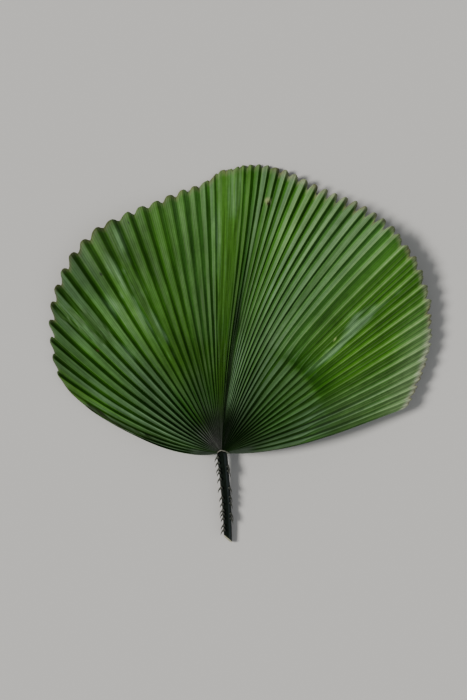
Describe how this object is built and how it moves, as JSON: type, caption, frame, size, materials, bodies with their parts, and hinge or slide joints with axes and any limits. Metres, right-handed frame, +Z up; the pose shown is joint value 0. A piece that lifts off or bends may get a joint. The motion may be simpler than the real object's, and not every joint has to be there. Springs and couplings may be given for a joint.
{
  "type": "cut fan palm leaf",
  "caption": "Freshly cut round fan palm leaf lying face up: a pleated, notched blade folded down its middle, a raised crescent at the hub and a short thorned stalk with a slanting cut.",
  "frame": {"origin": "middle of the leaf's outline seen from above, on the level surface that it lies on", "axes": "+Y from the cut end of the stalk to the tip of the blade, +X to the right seen from above, +Z up"},
  "size_m": [0.4214, 0.418, 0.0393],
  "materials": {
    "leaf_blade": "matt green leaf with a grey bloom, finely veined along each pleat",
    "leaf_stalk": "smooth olive green stalk with a grey sheen in its channel and a pale fibrous cut",
    "leaf_hastula": "pale dry ridge, browned at one end"
  },
  "bodies": {
    "root": {"blade_left": "leaf_blade", "blade_right": "leaf_blade", "petiole": "leaf_stalk", "hastula": "leaf_hastula"}
  },
  "joints": []
}
